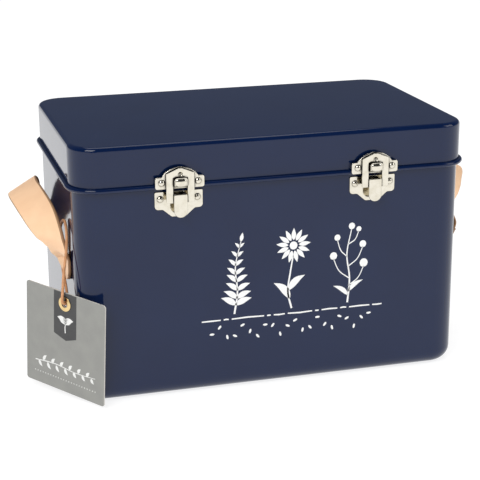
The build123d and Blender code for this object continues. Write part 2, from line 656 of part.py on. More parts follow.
# ================================================================ centre partition
inner_half_d = BODY_D / 2 - SHEET
rim_half_d = NECK_D / 2 - SHEET - HEM_T - PARTITION_FIT
partition_top = RIM_Z - PARTITION_DROP
with BuildPart() as partition:
    with BuildSketch(Plane.YZ) as web:
        with BuildLine():
            low = NECK_Z - 6.0
            Polyline((-inner_half_d, SHEET), (inner_half_d, SHEET), (inner_half_d, low),
                     (rim_half_d, low), (rim_half_d, partition_top),
                     (-rim_half_d, partition_top), (-rim_half_d, low),
                     (-inner_half_d, low), close=True)
        make_face()
        fillet(web.vertices().group_by(Axis.Y)[0], FLOOR_R - SHEET)
        fillet(web.vertices().group_by(Axis.Y)[-1], 6.0)
    extrude(amount=PARTITION_T / 2, both=True)
    for end in (-1, 1):
        with Locations((PARTITION_T / 2 + PARTITION_FLANGE / 2,
                        end * (inner_half_d - PARTITION_T / 2),
                        (FLOOR_R + 6.0 + low) / 2)):
            Box(PARTITION_FLANGE, PARTITION_T, low - FLOOR_R - 6.0)
save(partition.part, "centre_partition")

# ================================================================ divider cards
card_step = (BODY_D - 2 * SHEET - 2 * CARD_END_ROOM) / (CARDS_PER_SIDE - 1)
card_z = SHEET + CARD_FLOOR_GAP
card_h = RIM_Z - CARD_DROP - card_z
for _, side in SIDES:
    for i in range(CARDS_PER_SIDE):
        number = i + 1 + (CARDS_PER_SIDE if side > 0 else 0)
        card_y = (i - (CARDS_PER_SIDE - 1) / 2) * card_step
        card_x = side * (PARTITION_T / 2 + CARD_SIDE_GAP + CARD_W / 2)
        tab_room = CARD_W - CARD_TAB_W - 2 * CARD_CORNER_R
        tab_x = (i / (CARDS_PER_SIDE - 1) - 0.5) * tab_room
        with BuildPart() as card:
            with BuildSketch(Plane(origin=(card_x, card_y, 0), x_dir=(1, 0, 0),
                                   z_dir=(0, -1, 0))) as card_face:
                with Locations((0, card_z + card_h / 2)):
                    RectangleRounded(CARD_W, card_h, CARD_CORNER_R)
                with Locations((tab_x, card_z + card_h + CARD_TAB_H / 2 - 4.0)):
                    RectangleRounded(CARD_TAB_W, CARD_TAB_H + 8.0, 3.0)
            extrude(amount=CARD_T / 2, both=True)
        save(card.part, f"divider_card_{number:02d}")

# ================================================================ swing tag
tag_level = Vector(1, 0, 0).rotate(Axis.Z, TAG_TURN)
tag_tilt = math.radians(TAG_TILT)
tag_plane = Plane(origin=TAG_CENTRE,
                  x_dir=tag_level * math.cos(tag_tilt) + Vector(0, 0, math.sin(tag_tilt)),
                  z_dir=tag_level.cross(Vector(0, 0, 1)))

with BuildPart() as tag_card:
    with BuildSketch(tag_plane):
        RectangleRounded(TAG_W, TAG_H, TAG_CORNER_R)
        with Locations((0, EYELET_UP)):
            Circle(EYELET_HOLE_R + EYELET_LIP + 0.05, mode=Mode.SUBTRACT)
    extrude(amount=TAG_T / 2, both=True)
save(tag_card.part, "tag_card")

with BuildPart() as tag_eyelet:
    with BuildSketch(tag_plane.offset(-TAG_T / 2 - EYELET_LIP)):
        with Locations((0, EYELET_UP)):
            Circle(EYELET_R)
            Circle(EYELET_HOLE_R, mode=Mode.SUBTRACT)
    extrude(amount=EYELET_LIP)
    with BuildSketch(tag_plane.offset(-TAG_T / 2)):
        with Locations((0, EYELET_UP)):
            Circle(EYELET_HOLE_R + EYELET_LIP)
            Circle(EYELET_HOLE_R, mode=Mode.SUBTRACT)
    extrude(amount=TAG_T)
    with BuildSketch(tag_plane.offset(TAG_T / 2)):
        with Locations((0, EYELET_UP)):
            Circle(EYELET_R)
            Circle(EYELET_HOLE_R, mode=Mode.SUBTRACT)
    extrude(amount=EYELET_LIP)
    fillet(tag_eyelet.edges().filter_by(GeomType.CIRCLE).filter_by(
        lambda e: abs(e.radius - EYELET_R) < 0.01), 0.35)
save(tag_eyelet.part, "tag_eyelet")


def cord_radii(points):
    """Arc at each inner corner: 0.45 of the shorter run over the tangent of half the turn."""
    radii = []
    for a, b, c in zip(points, points[1:], points[2:]):
        first = Vector(*b) - Vector(*a)
        second = Vector(*c) - Vector(*b)
        half_turn = math.radians(first.get_angle(second)) / 2
        radii.append(0.45 * min(first.length, second.length) / math.tan(half_turn))
    return radii


KNOT_R = EYELET_HOLE_R + KNOT_LAP
knot_back = TAG_T / 2 + EYELET_LIP + KNOT_FIT + math.sqrt(KNOT_R ** 2 - EYELET_HOLE_R ** 2)
knot_middle = tag_plane.from_local_coords((0, EYELET_UP, -knot_back))
knot_exits = [(Vector(*CORD_POINTS[0]) - knot_middle).normalized(),
              (Vector(*CORD_POINTS[-1]) - knot_middle).normalized()]
with BuildPart() as tag_knot:
    with Locations(knot_middle):
        Sphere(KNOT_R)
    for way in knot_exits:
        with BuildSketch(Plane(origin=knot_middle + way * KNOT_SEAT, z_dir=way)):
            Circle(CORD_R + KNOT_FIT)
        extrude(amount=KNOT_R, mode=Mode.SUBTRACT)
save(tag_knot.part, "tag_knot")

cord_ends = [tuple(knot_middle + way * KNOT_SEAT) for way in knot_exits]
cord_route = [cord_ends[0]] + CORD_POINTS + [cord_ends[1]]
radii = cord_radii(cord_route)
with BuildPart() as tag_cord:
    with BuildLine() as cord_path:
        FilletPolyline(*cord_route, radius=radii)
    cord_start = Plane(origin=cord_path.line @ 0, z_dir=cord_path.line % 0)
    with BuildSketch(cord_start):
        Circle(CORD_R)
    sweep(path=cord_path.wires()[0])
save(tag_cord.part, "tag_cord")

cord_length = cord_path.wires()[0].length
print("cord route", [tuple(round(v, 2) for v in p) for p in cord_route])
print("cord radii", [round(r, 1) for r in radii])
print("cord length", round(cord_length, 1), "volume", round(tag_cord.part.volume, 1),
      "section times length", round(math.pi * CORD_R ** 2 * cord_length, 1))
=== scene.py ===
"""Hinged navy steel storage box for seed packets: finishes, leather, swing tag and print on
its CAD frame, with the camera and the light of a plain white studio.

Metres.  The origin is the middle of the body in plan, on the resting plane; -Y is the latch side.
"""

import math

import bpy
import numpy as np
from mathutils import Matrix, Vector


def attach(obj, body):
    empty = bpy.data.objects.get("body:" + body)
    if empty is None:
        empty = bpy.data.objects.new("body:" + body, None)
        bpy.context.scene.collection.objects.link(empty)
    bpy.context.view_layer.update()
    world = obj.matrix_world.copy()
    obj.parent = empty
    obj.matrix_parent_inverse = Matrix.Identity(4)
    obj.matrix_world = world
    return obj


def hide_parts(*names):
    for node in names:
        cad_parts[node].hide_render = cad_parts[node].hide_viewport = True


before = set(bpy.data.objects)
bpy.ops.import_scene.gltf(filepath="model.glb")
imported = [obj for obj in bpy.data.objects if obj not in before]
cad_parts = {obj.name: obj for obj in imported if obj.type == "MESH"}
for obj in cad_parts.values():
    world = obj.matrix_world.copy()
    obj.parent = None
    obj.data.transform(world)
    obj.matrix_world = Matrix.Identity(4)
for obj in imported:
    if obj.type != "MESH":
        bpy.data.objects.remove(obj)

bl_info = {
    "name": "Seed Packet Box",
    "version": (1, 0, 0),
    "blender": (4, 5, 0),
    "location": "View3D > Sidebar > Seed Box",
    "description": "Finishes, leather straps, swing tag and print for the seed packet box",
    "category": "Object",
}

MM = 0.001
SIDES = (("left", -1.0), ("right", 1.0))


# ---------------------------- node graphs
class Graph:
    """A short way to write a material's or the world's nodes."""

    def __init__(self, tree):
        self.tree = tree
        tree.nodes.clear()

    def add(self, kind, inputs=None, **settings):
        """One node: plain values go onto its sockets, and sockets are linked in."""
        node = self.tree.nodes.new(kind)
        for key, value in settings.items():
            setattr(node, key, value)
        for key, value in (inputs or {}).items():
            if isinstance(value, bpy.types.NodeSocket):
                self.tree.links.new(value, node.inputs[key])
            else:
                node.inputs[key].default_value = value
        return node

    def math(self, operation, a, b=0.0):
        return self.add("ShaderNodeMath", {0: a, 1: b}, operation=operation).outputs[0]

    def noise(self, vector, scale, detail=3.0, rough=0.5):
        """Value of a noise with scale cells to the metre."""
        return self.add("ShaderNodeTexNoise", {
            "Vector": vector, "Scale": scale, "Detail": detail, "Roughness": rough,
        }).outputs["Fac"]

    def remap(self, value, low, high, to_low, to_high, smooth=False):
        """The range low to high of a value, turned into the range to_low to to_high."""
        return self.add("ShaderNodeMapRange", {
            "Value": value, "From Min": low, "From Max": high, "To Min": to_low,
            "To Max": to_high}, interpolation_type="SMOOTHSTEP" if smooth else "LINEAR",
        ).outputs["Result"]

    def mix(self, factor, a, b):
        """Colour a where the factor is 0 and b where it is 1."""
        node = self.add("ShaderNodeMix", data_type="RGBA")
        for name, value in (("Factor_Float", factor), ("A_Color", a), ("B_Color", b)):
            socket = next(s for s in node.inputs if s.identifier == name)
            if isinstance(value, bpy.types.NodeSocket):
                self.tree.links.new(value, socket)
            else:
                socket.default_value = value
        return next(s for s in node.outputs if s.identifier == "Result_Color")

    def stretch(self, vector, x, y, z):
        """Coordinates times x, y and z, so that a noise in them is squeezed by as much."""
        return self.add("ShaderNodeMapping", {"Vector": vector, "Scale": (x, y, z)},
                        ).outputs["Vector"]

    def bump(self, height, strength, distance):
        """Normal of a surface that rises by the distance, in metres, as the height goes to 1."""
        return self.add("ShaderNodeBump", {
            "Height": height, "Strength": strength, "Distance": distance}).outputs["Normal"]


def rgb(red, green, blue):
    """Linear colour with full opacity."""
    return (red, green, blue, 1.0)


def new_material(name):
    """(material, its graph, its shader node, object coordinates)."""
    material = bpy.data.materials.new(name)
    material.use_nodes = True
    graph = Graph(material.node_tree)
    shader = graph.add("ShaderNodeBsdfPrincipled")
    output = graph.add("ShaderNodeOutputMaterial")
    graph.tree.links.new(shader.outputs["BSDF"], output.inputs["Surface"])
    coords = graph.add("ShaderNodeTexCoord").outputs["Object"]
    return material, graph, shader, coords


def feed(graph, shader, **values):
    """Sets or links sockets of the shader; _ in a name stands for a space."""
    for key, value in values.items():
        socket = shader.inputs[key.replace("_", " ")]
        if isinstance(value, bpy.types.NodeSocket):
            graph.tree.links.new(value, socket)
        else:
            socket.default_value = value


def paint_node(name, material):
    """Gives a CAD node its finish."""
    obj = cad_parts[name]
    obj.data.materials.clear()
    obj.data.materials.append(material)


# ---------------------------- surfaces from arrays
def mesh_object(name, points, faces, body, materials, smooth=True):
    """Object from an (n, 3) array of points in metres and lists of faces."""
    mesh = bpy.data.meshes.new(name)
    mesh.from_pydata(np.asarray(points, float).tolist(), [], faces)
    for material in materials:
        mesh.materials.append(material)
    mesh.polygons.foreach_set("use_smooth", np.full(len(mesh.polygons), smooth))
    if enclosed(mesh) < 0:
        mesh.flip_normals()
    mesh.update()
    obj = bpy.data.objects.new(name, mesh)
    bpy.context.scene.collection.objects.link(obj)
    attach(obj, body)
    return obj


def enclosed(mesh):
    """Volume inside a closed mesh, V = sum of a . (b x c) / 6 over its triangles a, b, c;
    negative if its faces look inwards."""
    mesh.calc_loop_triangles()
    corner = np.zeros(3 * len(mesh.loop_triangles), int)
    mesh.loop_triangles.foreach_get("vertices", corner)
    co = np.zeros(3 * len(mesh.vertices))
    mesh.vertices.foreach_get("co", co)
    a, b, c = co.reshape(-1, 3)[corner.reshape(-1, 3)].transpose(1, 0, 2)
    return float((a * np.cross(b, c)).sum() / 6)


def ring_faces(rings, around, first=0, closed=False):
    """Faces between successive rings of points; each ring runs round once.  closed joins the
    last ring to the first, otherwise the ends are capped with one face each."""
    spans = rings if closed else rings - 1
    i, j = np.meshgrid(np.arange(spans), np.arange(around), indexing="ij")
    here, over = i * around, ((i + 1) % rings) * around
    nxt = (j + 1) % around
    quads = np.stack([here + j, here + nxt, over + nxt, over + j], -1).reshape(-1, 4) + first
    faces = quads.tolist()
    if not closed:
        faces.append((np.arange(around)[::-1] + first).tolist())
        faces.append((np.arange(around) + (rings - 1) * around + first).tolist())
    return faces


def spline(knots, samples_per_span):
    """Catmull-Rom curve through the rows of knots: between rows b and c, with neighbours a and
    d, p(u) = b + u (c - a) / 2 + u^2 (a - 5b / 2 + 2c - d / 2) + u^3 (3b - a - 3c + d) / 2."""
    k = np.asarray(knots, float)
    k = np.vstack([2 * k[0] - k[1], k, 2 * k[-1] - k[-2]])
    u = np.linspace(0, 1, samples_per_span, endpoint=False)[:, None]
    out = []
    for a, b, c, d in zip(k[:-3], k[1:-2], k[2:-1], k[3:]):
        out.append(b + u * (c - a) / 2 + u ** 2 * (a - 2.5 * b + 2 * c - 0.5 * d)
                   + u ** 3 * (3 * b - a - 3 * c + d) / 2)
    return np.vstack(out + [k[-2][None]])


def unit(rows):
    """The rows, each at length 1."""
    return rows / np.linalg.norm(rows, axis=-1, keepdims=True)


def smoothstep(low, high, x):
    """0 below low, 1 above high, and 3t^2 - 2t^3 between."""
    t = np.clip((x - low) / (high - low), 0, 1)
    return t * t * (3 - 2 * t)


# ---------------------------- settings
class BoxStageSettings(bpy.types.PropertyGroup):
    """Camera and studio light."""
    focal: bpy.props.FloatProperty(
        name="Focal Length", description="Lens of the camera, in millimetres",
        default=103.66, min=20, max=300)
    key_power: bpy.props.FloatProperty(
        name="Key Light", description="Power of the large soft light on the left, in watts",
        default=18.0, min=0)
    fill_power: bpy.props.FloatProperty(
        name="Fill Light", description="Power of the soft light on the right, in watts",
        default=7.0, min=0)
    ambient: bpy.props.FloatProperty(
        name="Ambient", description="Strength of the even white light from all round",
        default=0.55, min=0)
    floor_glow: bpy.props.FloatProperty(
        name="Floor Glow", description="How much light the white floor gives off by itself",
        default=0.80, min=0)


class BoxPaintSettings(bpy.types.PropertyGroup):
    """Gloss paint on the sheet steel."""
    colour: bpy.props.FloatVectorProperty(
        name="Colour", description="Colour of the gloss paint", subtype="COLOR", size=4,
        default=(0.0020, 0.0095, 0.0450, 1.0), min=0, max=1)
    roughness: bpy.props.FloatProperty(
        name="Roughness", description="Roughness of the gloss paint", default=0.07,
        min=0, max=1)
    peel: bpy.props.FloatProperty(
        name="Orange Peel", description="Strength of the fine waviness of sprayed paint",
        default=0.035, min=0, max=1)


class BoxFittingSettings(bpy.types.PropertyGroup):
    """Latches, hinges and rivets."""
    bulge: bpy.props.FloatProperty(
        name="Hook Bulge", description="How far the domed hook of a latch bulges out",
        default=1.35 * MM, unit="LENGTH")


class BoxStrapSettings(bpy.types.PropertyGroup):
    """Leather strap handles."""
    width: bpy.props.FloatProperty(
        name="Width", description="Width of a strap", default=26.0 * MM, unit="LENGTH")
    thickness: bpy.props.FloatProperty(
        name="Thickness", description="Thickness of the leather", default=2.5 * MM,
        unit="LENGTH")
    colour: bpy.props.FloatVectorProperty(
        name="Grain Colour", description="Colour of the smooth side of the leather",
        subtype="COLOR", size=4, default=(1.0, 0.66, 0.41, 1.0), min=0, max=1)
    pillow: bpy.props.FloatProperty(
        name="Pillow", description="How much thicker the leather is along its middle",
        default=0.18 * MM, unit="LENGTH")
    lift: bpy.props.FloatProperty(
        name="Lift", description="How much of its natural lift the free edge of a foot has",
        default=1.0, min=0, max=1.5)


class BoxTagSettings(bpy.types.PropertyGroup):
    """Swing tag on its lace."""
    width: bpy.props.FloatProperty(
        name="Card Width", description="Width of the card", default=80.0 * MM, unit="LENGTH")
    height: bpy.props.FloatProperty(
        name="Card Height", description="Height of the card", default=82.0 * MM,
        unit="LENGTH")
    thickness: bpy.props.FloatProperty(
        name="Card Thickness", description="Thickness of the card", default=1.0 * MM,
        unit="LENGTH")
    lace: bpy.props.FloatProperty(
        name="Lace Diameter", description="Diameter of the round lace", default=2.2 * MM,
        unit="LENGTH")


class BoxPrintSettings(bpy.types.PropertyGroup):
    """White print on the front."""
    ink: bpy.props.FloatProperty(
        name="Ink Thickness", description="Thickness of the printed ink", default=0.06 * MM,
        unit="LENGTH")
    line: bpy.props.FloatProperty(
        name="Line Width", description="Width of the printed stems", default=1.5 * MM,
        unit="LENGTH")


# ---------------------------- stage
CAMERA_AT = Vector((-0.2981, -1.0551, 0.4365))
CAMERA_YAW, CAMERA_PITCH, CAMERA_ROLL = (math.radians(a) for a in (15.63, 17.53, -0.34))
SENSOR_WIDTH = 36.0      # in millimetres, like the focal length
CLIP_NEAR, CLIP_FAR = 0.05, 50.0
FLOOR_HALF, FLOOR_LEVEL = 8.0, -0.2 * MM
# Name of a square lamp, the setting with its power, the length of its sides, and its place.
LAMPS = (("key_light", "key_power", 1.1, (-1.1, -1.3, 1.5)),
         ("fill_light", "fill_power", 1.0, (1.5, -0.9, 1.0)),
         ("top_light", "fill_power", 1.2, (0.1, 0.5, 1.9)))
LAMP_AIM = Vector((0, 0, 0.1))
WHITE = rgb(1, 1, 1)
# What gloss paint and metal mirror of the room's upper part, before and behind the box.
ROOM_BEFORE, ROOM_BEHIND = rgb(0.04, 0.042, 0.045), rgb(0.115, 0.128, 0.160)


class BOX_OT_stage(bpy.types.Operator):
    """Camera at the photograph's viewing angle, white floor, soft lamps and a white world"""
    bl_idname = "seedbox.stage"
    bl_label = "Stage"

    def execute(self, context):
        scene, settings = context.scene, context.scene.box_stage
        scene.view_settings.view_transform = "Standard"
        self.camera(scene, settings)
        self.floor(settings)
        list(self.lamps(settings))
        self.world(scene, settings)
        return {"FINISHED"}

    def camera(self, scene, settings):
        """Level axes of the view, turned by the roll about the line of sight."""
        yaw, pitch, roll = CAMERA_YAW, CAMERA_PITCH, CAMERA_ROLL
        ahead = Vector((math.sin(yaw) * math.cos(pitch), math.cos(yaw) * math.cos(pitch),
                        -math.sin(pitch)))
        level = Vector((math.cos(yaw), -math.sin(yaw), 0))
        upward = level.cross(ahead)
        right = level * math.cos(roll) + upward * math.sin(roll)
        up = upward * math.cos(roll) - level * math.sin(roll)
        lens = bpy.data.cameras.new("camera")
        lens.lens, lens.sensor_width = settings.focal, SENSOR_WIDTH
        lens.clip_start, lens.clip_end = CLIP_NEAR, CLIP_FAR
        camera = bpy.data.objects.new("camera", lens)
        scene.collection.objects.link(camera)
        turn = Matrix((right, up, -ahead)).transposed().to_4x4()
        camera.matrix_world = Matrix.Translation(CAMERA_AT) @ turn
        scene.camera = camera

    def floor(self, settings):
        """Pale matt square that gives off a little light of its own."""
        mesh = bpy.data.meshes.new("floor")
        mesh.from_pydata([(x * FLOOR_HALF, y * FLOOR_HALF, FLOOR_LEVEL)
                          for x, y in ((-1, -1), (1, -1), (1, 1), (-1, 1))], [], [(0, 1, 2, 3)])
        material = bpy.data.materials.new("white_floor")
        material.use_nodes = True
        graph = Graph(material.node_tree)
        coords = graph.add("ShaderNodeTexCoord").outputs["Object"]
        grain = graph.remap(graph.noise(coords, 40.0), 0.3, 0.7, 0.34, 0.36)
        matt = graph.add("ShaderNodeBsdfDiffuse", {"Color": graph.add(
            "ShaderNodeCombineColor", {0: grain, 1: grain, 2: grain}).outputs[0]})
        glow = graph.add("ShaderNodeEmission", {"Strength": settings.floor_glow})
        both = graph.add("ShaderNodeAddShader", {0: matt.outputs[0], 1: glow.outputs[0]})
        graph.add("ShaderNodeOutputMaterial", {"Surface": both.outputs[0]})
        mesh.materials.append(material)
        floor = bpy.data.objects.new("floor", mesh)
        bpy.context.scene.collection.objects.link(floor)
        return floor

    def lamps(self, settings):
        """Large square lamps that look at the box."""
        made = []
        for name, power, size, at in LAMPS:
            lamp = bpy.data.lights.new(name, "AREA")
            lamp.shape, lamp.size, lamp.energy = "SQUARE", size, getattr(settings, power)
            obj = bpy.data.objects.new(name, lamp)
            obj.location = at
            obj.rotation_euler = (LAMP_AIM - Vector(at)).to_track_quat("-Z", "Y").to_euler()
            bpy.context.scene.collection.objects.link(obj)
            made.append(obj)
        return made

    def world(self, scene, settings):
        """White behind everything.  Reflections see a white room low down and a darker one
        above, so that gloss paint and bright metal keep their shape."""
        world = bpy.data.worlds.new("studio")
        scene.world = world
        world.use_nodes = True
        graph = Graph(world.node_tree)
        rays = graph.add("ShaderNodeLightPath").outputs
        direction = graph.add("ShaderNodeTexCoord").outputs["Generated"]
        axes = graph.add("ShaderNodeSeparateXYZ", {"Vector": direction}).outputs
        rise = graph.remap(axes["Z"], 0.0, 0.10, 1.0, 0.0, smooth=True)
        behind = graph.remap(axes["Y"], -0.1, 0.5, 0.0, 1.0, smooth=True)
        high = graph.mix(behind, ROOM_BEFORE, ROOM_BEHIND)
        room = graph.mix(rise, high, WHITE)
        mirrored = graph.add("ShaderNodeBackground", {"Color": room, "Strength": 1.0})
        even = graph.add("ShaderNodeBackground", {"Color": WHITE, "Strength": settings.ambient})
        plain = graph.add("ShaderNodeBackground", {"Color": WHITE, "Strength": 1.0})
        lit = graph.add("ShaderNodeMixShader", {
            0: rays["Is Glossy Ray"], 1: even.outputs[0], 2: mirrored.outputs[0]})
        seen = graph.add("ShaderNodeMixShader", {
            0: rays["Is Camera Ray"], 1: lit.outputs[0], 2: plain.outputs[0]})
        graph.add("ShaderNodeOutputWorld", {"Surface": seen.outputs[0]})


# ---------------------------- sheet steel
WEAR = (1.25, 1.18, 1.12)        # how much lighter the paint is in places, per colour


def gloss_paint(settings):
    """Sprayed navy gloss: faint orange peel, uneven gloss, and a few dust nibs."""
    material, graph, shader, coords = new_material("navy_gloss_paint")
    peel = graph.noise(coords, 420.0, detail=2.0)
    broad = graph.noise(coords, 22.0, detail=2.0)
    nibs = graph.remap(graph.noise(coords, 900.0, detail=1.0), 0.80, 0.90, 0.0, 1.0)
    height = graph.math("ADD", graph.math("ADD", peel, graph.math("MULTIPLY", broad, 2.0)),
                        graph.math("MULTIPLY", nibs, 0.4))
    deep = tuple(settings.colour)
    worn = rgb(*(c * more for c, more in zip(deep, WEAR)))
    feed(graph, shader,
         Base_Color=graph.mix(graph.remap(broad, 0.3, 0.7, 0.0, 1.0), deep, worn),
         Roughness=graph.remap(broad, 0.3, 0.7, settings.roughness * 0.85,
                               settings.roughness * 1.2),
         IOR=1.45,
         Normal=graph.bump(height, settings.peel, 0.0004))
    return material


class BOX_OT_paint(bpy.types.Operator):
    """Navy gloss paint on the body, the lid and the partition"""
    bl_idname = "seedbox.paint"
    bl_label = "Sheet Steel"

    def execute(self, context):
        paint = gloss_paint(context.scene.box_paint)
        for name in ("body_shell", "lid_shell", "centre_partition"):
            paint_node(name, paint)
        return {"FINISHED"}


# ---------------------------- metal fittings
NICKEL, SATIN_NICKEL = (0.76, 0.72, 0.62), (0.62, 0.60, 0.56)
YELLOW_BRASS = (0.80, 0.60, 0.30)
OLD_BRASS, OLD_BRASS_STAIN = (0.33, 0.24, 0.15), (0.16, 0.11, 0.07)
STAIN_SHARE = (0.82, 0.80, 0.74)     # a metal's stain against its own colour
# Painted shade on metal: how far from a corner the ambient occlusion reaches, and the dark colour
# painted there.
CREVICE_SHADE_REACH, PAINTED_CREVICE_SHADE = 2.4 * MM, (0.05, 0.045, 0.04)


def metal(name, colour, roughness, brushed=0.0, tarnish=None):
    """Bare or plated metal: uneven roughness, fine scratches, tarnish, and dark corners."""
    material, graph, shader, coords = new_material(name)
    cloud = graph.noise(coords, 180.0, detail=4.0)
    fine = graph.noise(graph.stretch(coords, 1.0, 1.0, 14.0), 700.0, detail=2.0)
    dents = graph.noise(coords, 260.0, detail=1.0)
    stain = graph.remap(cloud, 0.42, 0.72, 0.0, 1.0, smooth=True)
    dull = tarnish or tuple(c * share for c, share in zip(colour, STAIN_SHARE))
    height = graph.math("ADD", graph.math("MULTIPLY", fine, 0.3 + brushed), dents)
    # Painted shade: near other surfaces (round rivet heads, under edges, in creases) the colour is
    # blended towards the dark corner colour.
    open_air = graph.add("ShaderNodeAmbientOcclusion", {"Distance": CREVICE_SHADE_REACH},
                         samples=12).outputs["AO"]
    painted_shade = graph.remap(open_air, 0.62, 0.985, 0.96, 0.0, smooth=True)
    face = graph.mix(graph.math("MULTIPLY", stain, 0.55), rgb(*colour), rgb(*dull))
    feed(graph, shader,
         Base_Color=graph.mix(painted_shade, face, rgb(*PAINTED_CREVICE_SHADE)),
         Metallic=1.0,
         Roughness=graph.remap(cloud, 0.3, 0.7, roughness * 0.75, roughness * 1.35),
         Normal=graph.bump(height, 0.10 + brushed, 0.0002))
    return material


class BOX_OT_fittings(bpy.types.Operator):
    """Nickel latches, satin hinges, rivets and pins"""
    bl_idname = "seedbox.fittings"
    bl_label = "Metal Fittings"

    def execute(self, context):
        nickel = metal("bright_nickel", NICKEL, roughness=0.11)
        satin = metal("satin_nickel", SATIN_NICKEL, roughness=0.30, brushed=0.15)
        antique = metal("antique_brass", OLD_BRASS, roughness=0.34, tarnish=OLD_BRASS_STAIN)
        for side, sign in SIDES:
            hook_dome(side, sign, context.scene.box_fittings.bulge, nickel)
            for part in ("strike", "strike_rivets", "base", "base_rivets", "lever", "hasp"):
                paint_node(f"latch_{side}_{part}", nickel)
            for part in ("lever_pin", "hasp_pin"):
                paint_node(f"latch_{side}_{part}", satin)
            for part in ("lid_leaf", "body_leaf", "pin", "lid_rivets", "body_rivets"):
                paint_node(f"hinge_{side}_{part}", satin)
            paint_node(f"handle_{side}_rivets", antique)
        return {"FINISHED"}


# Hooks of the strike plates, in millimetres.
LATCH_X, HOOK_FRONT_Y, HOOK_MIDDLE_Z = 76.3, -104.0, 172.4
DOME_HALF_W, DOME_HALF_H = 4.5, 3.1
DOME_POWER = 2.6         # 2 gives an ellipse, and more a squarer outline
DOME_SINK = 0.15         # how deep the dome's rim sits in the hook
DOME_RINGS, DOME_AROUND = 16, 48


def hook_dome(name, side, bulge, material):
    """Pressed dome on the front of a hook: the superellipse |x / w|^p + |z / h|^p = r^p of each
    ring r stands out by b sqrt(1 - r^2)."""
    r = np.concatenate([[0.02], np.sin(np.linspace(0.06, np.pi / 2, DOME_RINGS))])[:, None]
    v = np.linspace(0, 2 * np.pi, DOME_AROUND, endpoint=False)
    x = np.sign(np.cos(v)) * np.abs(np.cos(v)) ** (2 / DOME_POWER) * DOME_HALF_W * r
    z = np.sign(np.sin(v)) * np.abs(np.sin(v)) ** (2 / DOME_POWER) * DOME_HALF_H * r
    y = HOOK_FRONT_Y + DOME_SINK - bulge / MM * np.sqrt(1 - r ** 2) + 0 * x
    points = np.stack([side * LATCH_X + x, y, HOOK_MIDDLE_Z + z], -1)
    mesh_object(f"latch_{name}_hook_dome", points.reshape(-1, 3) * MM,
                ring_faces(*points.shape[:2]), "lid", [material])


# ---------------------------- divider cards
CARD_COUNT = 12
BOARD, BOARD_LIGHT = rgb(0.62, 0.52, 0.38), rgb(0.72, 0.62, 0.47)
BOARD_STAIN = rgb(0.52, 0.43, 0.31)


class BOX_OT_cards(bpy.types.Operator):
    """Buff board of the twelve divider cards"""
    bl_idname = "seedbox.cards"
    bl_label = "Divider Cards"

    def execute(self, context):
        material, graph, shader, coords = new_material("divider_board")
        fibre = graph.noise(graph.stretch(coords, 1.0, 1.0, 5.0), 420.0, detail=4.0, rough=0.6)
        pulp = graph.noise(coords, 60.0, detail=3.0)
        tint = graph.mix(graph.remap(fibre, 0.3, 0.7, 0.0, 1.0), BOARD, BOARD_LIGHT)
        feed(graph, shader,
             Base_Color=graph.mix(graph.remap(pulp, 0.4, 0.7, 0.0, 0.5), tint, BOARD_STAIN),
             Roughness=0.82,
             Normal=graph.bump(fibre, 0.25, 0.0003))
        for i in range(CARD_COUNT):
            paint_node(f"divider_card_{i + 1:02d}", material)
        return {"FINISHED"}


# ---------------------------- leather straps
PANEL_X = 153.5          # outer face of the side panels, in millimetres like all that follows
RIVET_Z = 102.0
TIP_R = 13.0             # round end of a strap, about its rivet
TIP_FLAT = 0.2           # half of the flat at the very end of that round
# Middle line of the front half of a strap, and the direction across it, in millimetres:
# out from the panel, along Y, up, then the same three for the direction.
STRAP_LINES = {
    "left": ((1.45, -52.0, 89.0, 0, 1, 0), (1.45, -52.0, 95.5, 0, 1, 0),
             (1.45, -52.0, 102.0, 0, 1, 0), (1.60, -52.0, 106.6, 0, 1, 0),
             (6.60, -51.9, 112.4, 0.36, 0.93, -0.08), (10.2, -51.0, 119.5, 0.50, 0.85, -0.20),
             (14.3, -47.5, 128.4, 0.68, 0.64, -0.33), (19.6, -37.0, 139.0, 0.82, 0.26, -0.46),
             (24.0, -20.0, 146.2, 0.87, 0.08, -0.48), (25.8, 0.0, 148.2, 0.89, 0, -0.456)),
    "right": ((1.45, -52.0, 89.0, 0, 1, 0), (1.45, -52.0, 95.5, 0, 1, 0),
              (1.45, -52.0, 102.0, 0, 1, 0), (1.60, -52.0, 106.6, 0, 1, 0),
              (4.60, -52.0, 111.0, -0.02, 1.00, 0), (6.40, -51.0, 117.5, 0.22, 0.95, -0.15),
              (9.40, -47.5, 125.5, 0.44, 0.85, -0.27), (14.6, -37.0, 134.0, 0.64, 0.66, -0.38),
              (21.0, -20.0, 140.5, 0.84, 0.20, -0.48), (28.0, 0.0, 143.5, 0.90, 0, -0.43)),
}
STATION_STEPS = 14       # points from one station to the next
FLAT_STEPS, BEND_STEPS = 30, 11      # points along a face of the section, and round an edge
EDGE_ROUND = 0.8         # share of half the thickness to which the cut edges are rounded
INNER_EDGE = 0.06        # how much wider the dark cut edge shows on the side of the panel
# How far one long edge stands off the panel near a foot: heights, and the lift at each.
LIFTS = {"left": ((86, 90, 96, 102, 106.6, 110, 115), (0.3, 1.0, 2.6, 4.6, 6.6, 3.6, 0)),
         "right": ((86, 92, 96, 100, 104, 107, 111, 117), (0.2, 0.6, 1.9, 3.8, 5.7, 6.5, 2.8, 0))}
LIFT_BLUR = 3            # points to each side over which a lift is evened out
FLESH, FLESH_LIGHT = rgb(0.48, 0.27, 0.14), rgb(0.64, 0.40, 0.23)
CUT_EDGE = rgb(0.31, 0.16, 0.075)
GRAIN_SHADE = (0.94, 0.91, 0.88)     # the darker clouds of the grain against its colour


